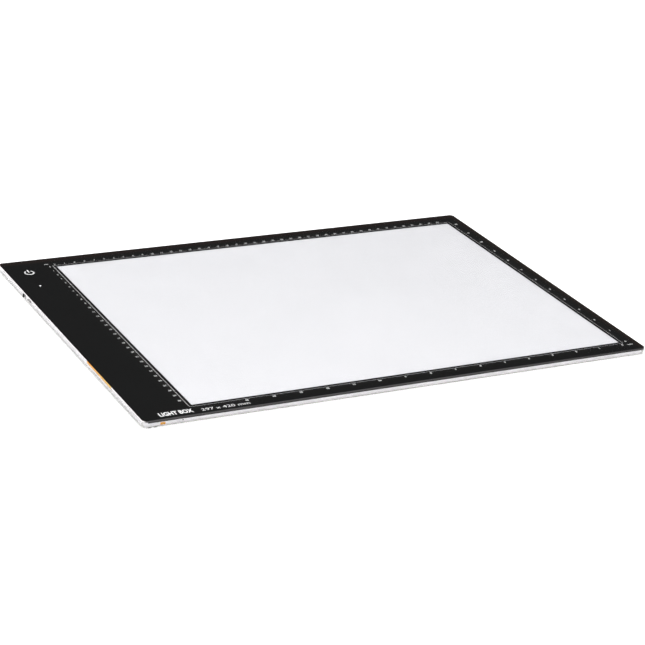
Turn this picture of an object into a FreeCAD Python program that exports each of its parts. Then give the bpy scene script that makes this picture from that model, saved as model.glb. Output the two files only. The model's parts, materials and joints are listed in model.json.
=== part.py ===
import FreeCAD, Part
import math
import os

# A3 light box for drawing and tracing, in millimetres, +Z up.
# Origin: centre of the footprint, on the surface that the feet stand on.
# +X runs along the long side, the front edge is at -Y and the control end is at -X.

# ---- driving dimensions: outside ----
LENGTH = 498.0
DEPTH = 348.0
CORNER_RADIUS = 4.0
FOOT_HEIGHT = 1.0
BODY_HEIGHT = 8.0
PANEL_CHAMFER = 0.3
COVER_CHAMFER = 0.4

# ---- driving dimensions: lit window and its borders ----
WINDOW_LENGTH = 429.0
WINDOW_DEPTH = 309.0
LEFT_BORDER = 51.0
FRONT_BORDER = 18.0

# ---- driving dimensions: layers ----
COVER_THICKNESS = 1.5
COVER_TAPE_THICKNESS = 0.2
REFLECTOR_THICKNESS = 0.2
GUIDE_THICKNESS = 4.0
PRISM_THICKNESS = 0.2
FOAM_THICKNESS = 1.0
MASK_THICKNESS = 0.1
PANEL_THICKNESS = 1.0

# ---- driving dimensions: walls ----
RIM_WALL = 3.0
RIM_LAND = 5.0
FRAME_GAP = 0.2
FRAME_WALL = 1.2
FRAME_SKIN = 0.3
WINDOW_GAP = 0.1
RECESS_MARGIN = 0.6
CONTROL_BAY_WIDTH = 38.6

# ---- driving dimensions: power inlet for a 3.5 mm plug ----
INLET_Y = 104.6
INLET_Z = 5.05
INLET_BORE_RADIUS = 1.75
INLET_BORE_DEPTH = 9.0
INLET_PIN_RADIUS = 0.65
INLET_PIN_LENGTH = 8.0
INLET_PIN_CHAMFER = 0.15
INLET_ROOT_RADIUS = 0.9
INLET_ROOT_GAP = 0.02
INLET_FLANGE_RADIUS = 1.4
INLET_FLANGE = 0.25
SHELL_LENGTH = 11.0
SHELL_WIDTH = 6.4
SHELL_HEIGHT = 4.2
SHELL_SIDE_GAP = 0.4
SHELL_TAB_OFFSETS = (3.0, 8.0)
RIM_INLET_RADIUS = 1.95
RIM_INLET_CHAMFER = 0.25

# ---- driving dimensions: slide switch ----
SWITCH_Y = 91.0
SWITCH_Z = 5.05
SWITCH_TRAVEL = 2.0
SWITCH_DEPTH = 3.6
SWITCH_WIDTH = 8.6
SWITCH_HEIGHT = 3.6
SWITCH_SIDE_GAP = 0.6
SWITCH_TAB_OFFSET = 2.0
LEVER_WIDTH = 1.5
LEVER_GAP = 0.3
LEVER_STAND_OUT = 2.6
LEVER_TAIL = 1.6
LEVER_ROUNDING = 0.25
RIM_SLOT_LENGTH = 5.6
RIM_SLOT_HEIGHT = 2.6

# ---- driving dimensions: touch key and indicator lamp ----
TOUCH_X = -227.2
TOUCH_Y = 145.5
TOUCH_PAD_RADIUS = 7.0
TOUCH_PAD_THICKNESS = 0.1
TOUCH_POST_RADIUS = 3.0
INDICATOR_X = -229.1
INDICATOR_Y = 113.9
INDICATOR_HOLE_RADIUS = 1.0
LIGHT_PIPE_RADIUS = 1.2
LIGHT_PIPE_FLANGE_RADIUS = 2.2
LIGHT_PIPE_FLANGE = 0.5
LIGHT_PIPE_GAP = 0.1
INDICATOR_LAMP_LENGTH = 3.2
INDICATOR_LAMP_WIDTH = 1.6
INDICATOR_LAMP_HEIGHT = 0.8

# ---- driving dimensions: battery ----
CELL_WIDTH = 34.0
CELL_LENGTH = 112.0
CELL_THICKNESS = 3.8
CELL_ROUNDING = 0.6
CELL_FRONT_Y = -106.0
CELL_SIDE_GAP = 0.6
CELL_PAD_LENGTH = 48.0
CELL_PAD_WIDTH = 28.0
CELL_PAD_THICKNESS = 0.6
CELL_TAPE_LENGTH = 54.0
CELL_TAPE_WIDTH = 10.0
CELL_TAPE_DROP = 1.5
TAPE_THICKNESS = 0.1
LEAD_RADIUS = 0.5

# ---- driving dimensions: lamp strips ----
LAMP_PITCH = 9.0
LAMP_END_MARGIN = 8.0
LAMP_LENGTH = 4.0
LAMP_DEPTH = 0.8
LAMP_HEIGHT = 1.4
LAMP_BOARD_THICKNESS = 1.0
LAMP_BOARD_HEIGHT = 3.6
LAMP_BOARD_CLEARANCE = 0.8
GUIDE_EDGE_GAP = 0.2
EDGE_TAPE_THICKNESS = 0.2
LAMP_LEAD_RADIUS = 0.4

# ---- driving dimensions: control board and its connectors ----
BOARD_WIDTH = 36.0
BOARD_FRONT_Y = 82.0
BOARD_BACK_Y = 160.0
BOARD_THICKNESS = 1.0
BOARD_SIDE_GAP = 0.8
BOARD_LEDGE = 0.7
BOARD_NOTCH_GAP = 0.3
LEDGE_WIDTH = 3.0
STAKE_RADIUS = 0.8
STAKE_HEAD_RADIUS = 1.5
STAKE_HEAD_HEIGHT = 0.6
STAKE_GAP = 0.1
HEADER_WIDTH = 5.2
HEADER_DEPTH = 6.0
HEADER_HEIGHT = 3.0
HEADER_WALL = 0.5
HEADER_INSET = 1.0
PLUG_GAP = 0.05
PLUG_STAND_OUT = 3.0
PLUG_ENGAGEMENT = 4.0
SOLDER_TAB_LENGTH = 1.4
SOLDER_TAB_WIDTH = 1.5
SOLDER_TAB_THICKNESS = 0.25

# ---- driving dimensions: feet and fasteners ----
FOOT_RADIUS = 6.0
FOOT_INSET = 17.0
FOOT_ROUNDING = 0.4
SCREW_SHANK_RADIUS = 1.0
SCREW_HEAD_RADIUS = 1.9
SCREW_HEAD_HEIGHT = 0.9
SCREW_SINK = 0.1
SCREW_LENGTH = 4.5
SCREW_RECESS_WIDTH = 0.4
SCREW_RECESS_LENGTH = 2.0
SCREW_RECESS_DEPTH = 0.4
SCREW_HOLE_GAP = 0.1
SCREW_END_GAP = 0.3
THREAD_GAP = 0.02
BOSS_RADIUS = 2.5
BOSS_HEIGHT = 4.6
LABEL_LENGTH = 60.0
LABEL_WIDTH = 30.0
LABEL_THICKNESS = 0.1

# ---- edges and levels that follow ----
RIGHT = LENGTH / 2
LEFT = -RIGHT
BACK = DEPTH / 2
FRONT = -BACK
Z_COVER = FOOT_HEIGHT
Z_FLOOR = Z_COVER + COVER_THICKNESS
Z_RIM = Z_FLOOR + COVER_TAPE_THICKNESS
Z_SCREW = Z_COVER + SCREW_SINK
Z_SCREW_SEAT = Z_SCREW + SCREW_HEAD_HEIGHT
Z_SCREW_END = Z_SCREW + SCREW_LENGTH
Z_TOP = FOOT_HEIGHT + BODY_HEIGHT
Z_PANEL = Z_TOP - PANEL_THICKNESS
Z_MASK = Z_PANEL - MASK_THICKNESS
Z_FOAM = Z_MASK - FOAM_THICKNESS
Z_GUIDE = Z_FLOOR + REFLECTOR_THICKNESS
Z_PRISM = Z_GUIDE + GUIDE_THICKNESS
Z_DIFFUSER = Z_PRISM + PRISM_THICKNESS
WINDOW_X0 = LEFT + LEFT_BORDER
WINDOW_X1 = WINDOW_X0 + WINDOW_LENGTH
WINDOW_Y0 = FRONT + FRONT_BORDER
WINDOW_Y1 = WINDOW_Y0 + WINDOW_DEPTH
RIM_INSIDE_X = RIGHT - RIM_WALL
RIM_INSIDE_Y = BACK - RIM_WALL
RIM_INSIDE_RADIUS = CORNER_RADIUS - RIM_WALL
FRAME_OUTSIDE_X = RIM_INSIDE_X - FRAME_GAP
FRAME_OUTSIDE_Y = RIM_INSIDE_Y - FRAME_GAP
FRAME_RADIUS = RIM_INSIDE_RADIUS - FRAME_GAP
FRAME_INSIDE_X = FRAME_OUTSIDE_X - FRAME_WALL
FRAME_INSIDE_Y = FRAME_OUTSIDE_Y - FRAME_WALL
DIVIDER_X0 = -FRAME_INSIDE_X + CONTROL_BAY_WIDTH
DIVIDER_X1 = DIVIDER_X0 + FRAME_WALL
LAMP_BOARD_Y = FRAME_INSIDE_Y - TAPE_THICKNESS
LAMP_FACE_Y = LAMP_BOARD_Y - LAMP_BOARD_THICKNESS
GUIDE_Y = LAMP_FACE_Y - LAMP_DEPTH - GUIDE_EDGE_GAP
GUIDE_X0 = DIVIDER_X1 + 2 * EDGE_TAPE_THICKNESS
GUIDE_X1 = FRAME_INSIDE_X - 2 * EDGE_TAPE_THICKNESS
LAMP_BOARD_X0 = DIVIDER_X1 + LAMP_BOARD_CLEARANCE
LAMP_BOARD_X1 = FRAME_INSIDE_X - LAMP_BOARD_CLEARANCE
CELL_X0 = -RIM_INSIDE_X + CELL_SIDE_GAP
CELL_X1 = CELL_X0 + CELL_WIDTH
CELL_BACK_Y = CELL_FRONT_Y + CELL_LENGTH
Z_CELL = Z_FLOOR + CELL_PAD_THICKNESS
Z_CELL_TOP = Z_CELL + CELL_THICKNESS
BOARD_X0 = -RIM_INSIDE_X + BOARD_SIDE_GAP
BOARD_X1 = BOARD_X0 + BOARD_WIDTH
Z_BOARD = Z_FLOOR + BOARD_LEDGE
Z_BOARD_TOP = Z_BOARD + BOARD_THICKNESS
SHELL_X0 = -RIM_INSIDE_X + SHELL_SIDE_GAP
SHELL_X1 = SHELL_X0 + SHELL_LENGTH
SWITCH_X0 = -RIM_INSIDE_X + SWITCH_SIDE_GAP
SWITCH_X1 = SWITCH_X0 + SWITCH_DEPTH

# ---- inner frame: ribs, bosses, ledges and stakes ----
RIB_HEIGHT = 3.5
RIB_END_X = -210.6
FRONT_RIB_Y = -150.0
MIDDLE_RIB_Y = 20.0
BACK_BOSS_Y = 165.0
BOSS_PLACES = (
    (-240.0, FRONT_RIB_Y),
    (-217.0, FRONT_RIB_Y),
    (-240.0, MIDDLE_RIB_Y),
    (-217.0, MIDDLE_RIB_Y),
    (-240.0, BACK_BOSS_Y),
    (-224.0, BACK_BOSS_Y),
)
STAKE_Y = 122.0
STAKE_PLACES = ((-241.0, STAKE_Y), (-212.0, STAKE_Y))
LEDGE_Y = (BOARD_FRONT_Y + LEDGE_WIDTH / 2, STAKE_Y, BOARD_BACK_Y - LEDGE_WIDTH / 2)
LEAD_NOTCH_WIDTH = 4.2
LEAD_NOTCH_Z1 = 4.2
LAMP_NOTCH_Y = 165.5
LAMP_NOTCH_Z0 = 4.4
LAMP_NOTCH_Z1 = 6.8
FRONT_SLOT_X = -230.15
FRONT_SLOT_LENGTH = 3.0
FRONT_SLOT_HEIGHT = 1.2
FRONT_SLOT_Z = 4.0
LEAD_TAPE_LENGTH = 4.5
LEAD_TAPE_HEIGHT = 2.2

# ---- protection board at the front end of the cell ----
PROTECTION_X0 = -238.0
PROTECTION_X1 = -216.0
PROTECTION_WIDTH = 4.0
PROTECTION_THICKNESS = 0.8
PROTECTION_GAP = 1.2
PROTECTION_PAD = 0.2
PROTECTION_CHIP_X = (-229.0, -225.0)
PROTECTION_CHIP_SIZE = (3.0, 1.8, 1.0)
TAB_X = (-236.0, -222.0)
TAB_WIDTH = 4.0
TAB_THICKNESS = 0.15
TAB_OVERLAP = 2.4
PROTECTION_Y1 = CELL_FRONT_Y - PROTECTION_GAP
PROTECTION_Y0 = PROTECTION_Y1 - PROTECTION_WIDTH
Z_PROTECTION = Z_FLOOR + PROTECTION_PAD
Z_PROTECTION_TOP = Z_PROTECTION + PROTECTION_THICKNESS

# ---- connectors and leads ----
BATTERY_HEADER_X = -220.0
FRONT_LAMP_HEADER_X = -213.5
BACK_LAMP_HEADER_X = -214.0
FRONT_HEADER_Y = BOARD_FRONT_Y + HEADER_INSET
BACK_HEADER_Y = BOARD_BACK_Y - HEADER_INSET
FRONT_PLUG_Y = FRONT_HEADER_Y - PLUG_STAND_OUT
BACK_PLUG_Y = BACK_HEADER_Y + PLUG_STAND_OUT
LEAD_PLUG_Z = 5.6
LEAD_FLOOR_Z = 3.1
LEAD_CHANNEL_X = -207.9
LEAD_SPACING = 1.4
LEAD_FRONT_Y = -167.4
LEAD_START_X = -230.2
LEAD_RISE_Y = 56.0
LEAD_LEVEL_Y = 68.0
LEAD_BEND = 4.0
LAMP_LEAD_Z = (5.2, 6.05)
LAMP_LEAD_SHIFT = 0.05
LAMP_LEAD_Y = (LAMP_FACE_Y + GUIDE_Y) / 2 + LAMP_LEAD_SHIFT
LAMP_LEAD_END_X = -200.5
LAMP_LEAD_BEND = 3.0

# ---- parts on the control board: centre x, centre y, length x, width y, height ----
CHIPS = (
    (-221.0, 98.0, 6.0, 5.0, 1.5),
    (-217.0, 132.0, 4.0, 4.0, 0.9),
    (-215.0, 146.0, 5.0, 4.0, 1.2),
)
INDUCTOR = (-221.0, 109.0, 6.0, 6.0, 2.8)
INDUCTOR_CORNER = 0.8
INDUCTOR_CORE_RADIUS = 1.8
INDUCTOR_GROOVE_RADIUS = 2.2
INDUCTOR_GROOVE_DEPTH = 0.3
CAPACITOR_X = -213.5
CAPACITOR_Y = (97.0, 100.5, 104.0, 107.5)
CAPACITOR_SIZE = (3.2, 1.6, 1.6)
RESISTOR_X = -235.0
RESISTOR_Y = (124.0, 127.0, 130.0, 133.0, 136.0, 139.0)
RESISTOR_SIZE = (2.0, 1.2, 0.5)

# ---- tolerances of the geometry tests ----
SAME_PLACE = 1e-6
LEAD_VOLUME_ERROR = 0.01


def vector(x, y, z):
    return FreeCAD.Vector(x, y, z)


def block(x0, x1, y0, y1, z0, z1):
    """Rectangular block between its low and high faces."""
    return Part.makeBox(x1 - x0, y1 - y0, z1 - z0, vector(x0, y0, z0))


def block_on(x, y, z, length, width, height):
    """Block of the given size that stands at height z, centred on x and y."""
    return block(x - length / 2, x + length / 2, y - width / 2, y + width / 2, z, z + height)


def upright(radius, x, y, z0, z1):
    """Vertical cylinder."""
    return Part.makeCylinder(radius, z1 - z0, vector(x, y, z0))


def along_x(radius, x0, x1, y, z):
    """Cylinder that lies along X."""
    return Part.makeCylinder(radius, x1 - x0, vector(x0, y, z), vector(1, 0, 0))


def is_level(edge, z):
    """True for an edge that lies wholly at height z."""
    return all(abs(vertex.Z - z) < SAME_PLACE for vertex in edge.Vertexes)


def is_across(edge, x):
    """True for an edge that lies wholly in the plane at x."""
    return all(abs(vertex.X - x) < SAME_PLACE for vertex in edge.Vertexes)


def is_vertical(edge):
    ends = [vertex.Point for vertex in edge.Vertexes]
    return len(ends) == 2 and math.hypot(ends[0].x - ends[1].x, ends[0].y - ends[1].y) < SAME_PLACE


def rounded_plate(half_x, half_y, z0, z1, radius):
    """Plate centred on the origin, with rounded vertical corners."""
    plate = block(-half_x, half_x, -half_y, half_y, z0, z1)
    return plate.makeFillet(radius, [edge for edge in plate.Edges if is_vertical(edge)])


def rim_ring(z0, z1):
    """Ring as wide as the rim's wall, between two heights."""
    outside = rounded_plate(RIGHT, BACK, z0, z1, CORNER_RADIUS)
    inside = rounded_plate(RIM_INSIDE_X, RIM_INSIDE_Y, z0, z1, RIM_INSIDE_RADIUS)
    return outside.cut(inside)


def lead(points, bend_radius, wire_radius):
    """Round lead along straight runs joined by tangent arcs."""
    edges = []
    start = points[0]
    for before, corner, after in zip(points, points[1:], points[2:]):
        into = (corner - before) / (corner - before).Length
        away = (after - corner) / (after - corner).Length
        half_turn = into.getAngle(away) / 2
        reach = bend_radius * math.tan(half_turn)
        towards_centre = (away - into) / (away - into).Length
        middle = corner + towards_centre * (bend_radius / math.cos(half_turn) - bend_radius)
        arc_start = corner - into * reach
        arc_end = corner + away * reach
        edges.append(Part.LineSegment(start, arc_start).toShape())
        edges.append(Part.Arc(arc_start, middle, arc_end).toShape())
        start = arc_end
    edges.append(Part.LineSegment(start, points[-1]).toShape())
    path = Part.Wire(edges)
    section = Part.Wire([Part.makeCircle(wire_radius, points[0], points[1] - points[0])])
    tube = path.makePipeShell([section], True, False)
    expected = math.pi * wire_radius ** 2 * path.Length
    assert abs(tube.Volume / expected - 1) < LEAD_VOLUME_ERROR
    return tube


# ---- casing ----

def top_panel():
    """Clear sheet that is drawn on."""
    panel = rounded_plate(RIGHT, BACK, Z_PANEL, Z_TOP, CORNER_RADIUS)
    return panel.makeChamfer(PANEL_CHAMFER, [edge for edge in panel.Edges if is_level(edge, Z_TOP)])


def print_mask():
    """Black print behind the panel, open at the window and at the indicator's dot."""
    mask = rounded_plate(RIGHT, BACK, Z_MASK, Z_PANEL, CORNER_RADIUS)
    mask = mask.cut(block(WINDOW_X0, WINDOW_X1, WINDOW_Y0, WINDOW_Y1, Z_MASK, Z_PANEL))
    return mask.cut(upright(INDICATOR_HOLE_RADIUS, INDICATOR_X, INDICATOR_Y, Z_MASK, Z_PANEL))


def foam_tape():
    """Black foam tape on the front, right and back of the rim."""
    ring = rim_ring(Z_FOAM, Z_MASK)
    return ring.cut(block(LEFT, LEFT + RIM_LAND, FRONT, BACK, Z_FOAM, Z_MASK))


def rim_frame():
    """Clear rim; its left side rises to the mask and has the inlet hole and the switch slot."""
    rim = rim_ring(Z_RIM, Z_MASK)
    rim = rim.cut(block(LEFT + RIM_LAND, RIGHT, FRONT, BACK, Z_FOAM, Z_MASK))
    hole = along_x(RIM_INLET_RADIUS, LEFT, -RIM_INSIDE_X, INLET_Y, INLET_Z)
    mouth = Part.makeCone(
        RIM_INLET_RADIUS + RIM_INLET_CHAMFER,
        RIM_INLET_RADIUS,
        RIM_INLET_CHAMFER,
        vector(LEFT, INLET_Y, INLET_Z),
        vector(1, 0, 0),
    )
    slot = block(
        LEFT,
        -RIM_INSIDE_X,
        SWITCH_Y - RIM_SLOT_LENGTH / 2,
        SWITCH_Y + RIM_SLOT_LENGTH / 2,
        SWITCH_Z - RIM_SLOT_HEIGHT / 2,
        SWITCH_Z + RIM_SLOT_HEIGHT / 2,
    )
    return rim.cut(hole).cut(mouth).cut(slot)


def cover_tape():
    """Thin bonding tape between the rim and the back cover."""
    return rim_ring(Z_FLOOR, Z_RIM)


def back_cover():
    """Flat white cover with counterbored screw holes at the control end."""
    cover = rounded_plate(RIGHT, BACK, Z_COVER, Z_FLOOR, CORNER_RADIUS)
    cover = cover.makeChamfer(COVER_CHAMFER, [edge for edge in cover.Edges if is_level(edge, Z_COVER)])
    for x, y in BOSS_PLACES:
        hole = upright(SCREW_SHANK_RADIUS + SCREW_HOLE_GAP, x, y, Z_COVER, Z_FLOOR)
        counterbore = upright(SCREW_HEAD_RADIUS + SCREW_HOLE_GAP, x, y, Z_COVER, Z_SCREW_SEAT)
        cover = cover.cut(hole).cut(counterbore)
    return cover


def rubber_feet():
    """Six round feet with a rounded lower edge."""
    feet = []
    for x in (LEFT + FOOT_INSET, 0.0, RIGHT - FOOT_INSET):
        for y in (FRONT + FOOT_INSET, BACK - FOOT_INSET):
            foot = upright(FOOT_RADIUS, x, y, 0.0, FOOT_HEIGHT)
            feet.append(foot.makeFillet(FOOT_ROUNDING, [edge for edge in foot.Edges if is_level(edge, 0.0)]))
    return Part.makeCompound(feet)


def cover_screws():
    """Low-headed screws with a cross recess, driven up into the inner frame's bosses."""
    screws = []
    for x, y in BOSS_PLACES:
        head = upright(SCREW_HEAD_RADIUS, x, y, Z_SCREW, Z_SCREW_SEAT)
        shank = upright(SCREW_SHANK_RADIUS, x, y, Z_SCREW, Z_SCREW_END)
        screw = head.fuse(shank)
        for length, width in (
            (SCREW_RECESS_LENGTH, SCREW_RECESS_WIDTH),
            (SCREW_RECESS_WIDTH, SCREW_RECESS_LENGTH),
        ):
            screw = screw.cut(block_on(x, y, Z_SCREW, length, width, SCREW_RECESS_DEPTH))
        screws.append(screw)
    return Part.makeCompound(screws)


def rating_label():
    """Blank label under the cover."""
    return block_on(0.0, 0.0, Z_COVER - LABEL_THICKNESS, LABEL_LENGTH, LABEL_WIDTH, LABEL_THICKNESS)


# ---- inner frame ----

def frame_bosses():
    """Screw bosses, with webs that tie the back pair to the back wall."""
    top = Z_FLOOR + BOSS_HEIGHT
    pieces = []
    for x, y in BOSS_PLACES:
        pieces.append(upright(BOSS_RADIUS, x, y, Z_FLOOR, top))
        if y == BACK_BOSS_Y:
            web = FRAME_WALL / 2
            pieces.append(block(x - web, x + web, y, FRAME_INSIDE_Y, Z_FLOOR, top))
    return pieces


def frame_stakes():
    """Moulded pins whose melted heads hold the control board down."""
    pieces = []
    for x, y in STAKE_PLACES:
        pieces.append(upright(STAKE_RADIUS, x, y, Z_FLOOR, Z_BOARD_TOP))
        pieces.append(
            Part.makeCone(STAKE_HEAD_RADIUS, STAKE_RADIUS, STAKE_HEAD_HEIGHT, vector(x, y, Z_BOARD_TOP))
        )
    return pieces


def inner_frame():
    """White moulding: walls round the lit stack, a divider, and the control bay's ribs and bosses."""
    frame = rounded_plate(FRAME_OUTSIDE_X, FRAME_OUTSIDE_Y, Z_FLOOR, Z_MASK, FRAME_RADIUS)
    frame = frame.cut(
        block(-FRAME_INSIDE_X, FRAME_INSIDE_X, -FRAME_INSIDE_Y, FRAME_INSIDE_Y, Z_FLOOR, Z_MASK)
    )
    half_wall = FRAME_WALL / 2
    pieces = [block(DIVIDER_X0, DIVIDER_X1, -FRAME_INSIDE_Y, FRAME_INSIDE_Y, Z_FLOOR, Z_MASK)]
    for y in (FRONT_RIB_Y, MIDDLE_RIB_Y):
        pieces.append(
            block(-FRAME_INSIDE_X, RIB_END_X, y - half_wall, y + half_wall, Z_FLOOR, Z_FLOOR + RIB_HEIGHT)
        )
    for y in LEDGE_Y:
        half_ledge = LEDGE_WIDTH / 2
        pieces.append(block(-FRAME_INSIDE_X, BOARD_X1, y - half_ledge, y + half_ledge, Z_FLOOR, Z_BOARD))
    frame = frame.multiFuse(pieces + frame_bosses() + frame_stakes())
    for opening in frame_openings():
        frame = frame.cut(opening)
    return frame.removeSplitter()


def wall_recess(y0, y1, z0):
    """Recess in the inside of the left wall, which leaves a thin outer skin."""
    return block(-FRAME_OUTSIDE_X + FRAME_SKIN, -FRAME_INSIDE_X, y0, y1, z0, Z_MASK)


def wall_window(y, z, width, height):
    """Window right through the left wall."""
    half_width = width / 2
    half_height = height / 2
    return block(LEFT, -FRAME_INSIDE_X, y - half_width, y + half_width, z - half_height, z + half_height)


def frame_openings():
    """Recesses and windows in the inner frame, slots for leads, and screw holes."""
    tape_z0 = Z_CELL_TOP - CELL_TAPE_DROP
    front_slot = block_on(
        FRONT_SLOT_X,
        -FRAME_INSIDE_Y - FRAME_WALL / 2,
        FRONT_SLOT_Z - FRONT_SLOT_HEIGHT / 2,
        FRONT_SLOT_LENGTH,
        FRAME_WALL,
        FRONT_SLOT_HEIGHT,
    )
    openings = [
        wall_recess(CELL_FRONT_Y - RECESS_MARGIN, CELL_BACK_Y + RECESS_MARGIN, Z_CELL),
        wall_recess(BOARD_FRONT_Y - RECESS_MARGIN, BOARD_BACK_Y + RECESS_MARGIN, Z_BOARD),
        wall_window(
            CELL_FRONT_Y + CELL_TAPE_LENGTH / 2,
            (tape_z0 + Z_MASK) / 2,
            CELL_TAPE_LENGTH + 2 * WINDOW_GAP,
            Z_MASK - tape_z0,
        ),
        wall_window(INLET_Y, INLET_Z, SHELL_WIDTH + 2 * WINDOW_GAP, SHELL_HEIGHT + 2 * WINDOW_GAP),
        wall_window(SWITCH_Y, SWITCH_Z, RIM_SLOT_LENGTH, RIM_SLOT_HEIGHT),
        block_on(LEAD_START_X, FRONT_RIB_Y, Z_FLOOR, LEAD_NOTCH_WIDTH, FRAME_WALL, LEAD_NOTCH_Z1 - Z_FLOOR),
        front_slot,
    ]
    for y0, y1 in ((-FRAME_INSIDE_Y, -LAMP_NOTCH_Y), (LAMP_NOTCH_Y, FRAME_INSIDE_Y)):
        openings.append(block(DIVIDER_X0, DIVIDER_X1, y0, y1, LAMP_NOTCH_Z0, LAMP_NOTCH_Z1))
    for x, y in BOSS_PLACES:
        openings.append(upright(SCREW_SHANK_RADIUS + THREAD_GAP, x, y, Z_FLOOR, Z_SCREW_END + SCREW_END_GAP))
    return openings


# ---- lit stack ----

def stack_sheet(z0, z1):
    """One full sheet of the lit stack."""
    return block(GUIDE_X0, GUIDE_X1, -GUIDE_Y, GUIDE_Y, z0, z1)


def reflector_sheet():
    return stack_sheet(Z_FLOOR, Z_GUIDE)


def light_guide():
    return stack_sheet(Z_GUIDE, Z_PRISM)


def prism_film():
    return stack_sheet(Z_PRISM, Z_DIFFUSER)


def diffuser_plate():
    return stack_sheet(Z_DIFFUSER, Z_MASK)


def guide_edge_tape():
    """White tape on the light guide's two unlit edges."""
    left = block(GUIDE_X0 - EDGE_TAPE_THICKNESS, GUIDE_X0, -GUIDE_Y, GUIDE_Y, Z_GUIDE, Z_PRISM)
    right = block(GUIDE_X1, GUIDE_X1 + EDGE_TAPE_THICKNESS, -GUIDE_Y, GUIDE_Y, Z_GUIDE, Z_PRISM)
    return Part.makeCompound([left, right])


def between(y_near, y_far, side):
    """Low and high y of a layer on the front (-1) or back (+1) side."""
    return sorted((side * y_near, side * y_far))


def lamp_board(side):
    """Aluminium board of one lamp strip."""
    y0, y1 = between(LAMP_FACE_Y, LAMP_BOARD_Y, side)
    return block(LAMP_BOARD_X0, LAMP_BOARD_X1, y0, y1, Z_GUIDE, Z_GUIDE + LAMP_BOARD_HEIGHT)


def lamp_board_tape():
    """Bonding tape between each lamp board and the inner frame."""
    strips = []
    for side in (-1, 1):
        y0, y1 = between(LAMP_BOARD_Y, FRAME_INSIDE_Y, side)
        strips.append(block(LAMP_BOARD_X0, LAMP_BOARD_X1, y0, y1, Z_GUIDE, Z_GUIDE + LAMP_BOARD_HEIGHT))
    return Part.makeCompound(strips)


def lamp_packages(side):
    """Side-firing lamps that shine into the edge of the light guide."""
    y0, y1 = between(LAMP_FACE_Y - LAMP_DEPTH, LAMP_FACE_Y, side)
    z0 = Z_GUIDE + (GUIDE_THICKNESS - LAMP_HEIGHT) / 2
    run = LAMP_BOARD_X1 - LAMP_BOARD_X0 - 2 * LAMP_END_MARGIN
    count = int(run // LAMP_PITCH) + 1
    first_x = (LAMP_BOARD_X0 + LAMP_BOARD_X1 - (count - 1) * LAMP_PITCH) / 2
    lamps = []
    for index in range(count):
        x = first_x + index * LAMP_PITCH
        lamps.append(block(x - LAMP_LENGTH / 2, x + LAMP_LENGTH / 2, y0, y1, z0, z0 + LAMP_HEIGHT))
    return Part.makeCompound(lamps)


# ---- battery ----

def battery_cell():
    """Flat pouch cell."""
    cell = block(CELL_X0, CELL_X1, CELL_FRONT_Y, CELL_BACK_Y, Z_CELL, Z_CELL_TOP)
    return cell.makeFillet(CELL_ROUNDING, cell.Edges)


def battery_pads():
    """Foam pads under the cell and under the protection board."""
    pads = []
    for y in (CELL_FRONT_Y + CELL_LENGTH / 4, CELL_BACK_Y - CELL_LENGTH / 4):
        x = (CELL_X0 + CELL_X1) / 2
        pads.append(block_on(x, y, Z_FLOOR, CELL_PAD_WIDTH, CELL_PAD_LENGTH, CELL_PAD_THICKNESS))
    pads.append(
        block(PROTECTION_X0, PROTECTION_X1, PROTECTION_Y0, PROTECTION_Y1, Z_FLOOR, Z_PROTECTION)
    )
    return Part.makeCompound(pads)


def battery_tape():
    """Amber tape folded over the cell's outer long edge."""
    y1 = CELL_FRONT_Y + CELL_TAPE_LENGTH
    outside_x = CELL_X0 - TAPE_THICKNESS
    top_z = Z_CELL_TOP + TAPE_THICKNESS
    over = block(outside_x, CELL_X0 + CELL_TAPE_WIDTH, CELL_FRONT_Y, y1, Z_CELL_TOP, top_z)
    down = block(outside_x, CELL_X0, CELL_FRONT_Y, y1, Z_CELL_TOP - CELL_TAPE_DROP, top_z)
    return over.fuse(down).removeSplitter()


def battery_tabs():
    """Nickel tabs from the cell's front end onto the protection board."""
    y0 = PROTECTION_Y1 - TAB_OVERLAP
    z0 = Z_PROTECTION_TOP
    tabs = []
    for x in TAB_X:
        tabs.append(block(x, x + TAB_WIDTH, y0, CELL_FRONT_Y, z0, z0 + TAB_THICKNESS))
    return Part.makeCompound(tabs)


def protection_board():
    return block(PROTECTION_X0, PROTECTION_X1, PROTECTION_Y0, PROTECTION_Y1, Z_PROTECTION, Z_PROTECTION_TOP)


def protection_chips():
    y = (PROTECTION_Y0 + PROTECTION_Y1) / 2
    return Part.makeCompound(
        [block_on(x, y, Z_PROTECTION_TOP, *PROTECTION_CHIP_SIZE) for x in PROTECTION_CHIP_X]
    )


def battery_lead(side):
    """One battery lead; the side is +1 for the lead on the outside of the turns and -1 for the other."""
    step = side * LEAD_SPACING / 2
    turn = math.atan2(LEAD_CHANNEL_X - BATTERY_HEADER_X, LEAD_LEVEL_Y - LEAD_RISE_Y)
    along = step * math.tan(turn / 2)
    plug_x = BATTERY_HEADER_X + step
    points = [
        vector(LEAD_START_X - step, PROTECTION_Y0, LEAD_FLOOR_Z),
        vector(LEAD_START_X - step, LEAD_FRONT_Y - step, LEAD_FLOOR_Z),
        vector(LEAD_CHANNEL_X + step, LEAD_FRONT_Y - step, LEAD_FLOOR_Z),
        vector(LEAD_CHANNEL_X + step, LEAD_RISE_Y + along, LEAD_FLOOR_Z),
        vector(plug_x, LEAD_LEVEL_Y + along, LEAD_PLUG_Z),
        vector(plug_x, FRONT_PLUG_Y, LEAD_PLUG_Z),
    ]
    return lead(points, LEAD_BEND, LEAD_RADIUS)


def battery_lead_red():
    return battery_lead(1)


def battery_lead_black():
    return battery_lead(-1)


def lead_tape():
    """Amber patch over the lead slot in the inner frame's front wall."""
    return block_on(
        FRONT_SLOT_X,
        -FRAME_OUTSIDE_Y - TAPE_THICKNESS / 2,
        FRONT_SLOT_Z - LEAD_TAPE_HEIGHT / 2,
        LEAD_TAPE_LENGTH,
        TAPE_THICKNESS,
        LEAD_TAPE_HEIGHT,
    )


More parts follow.
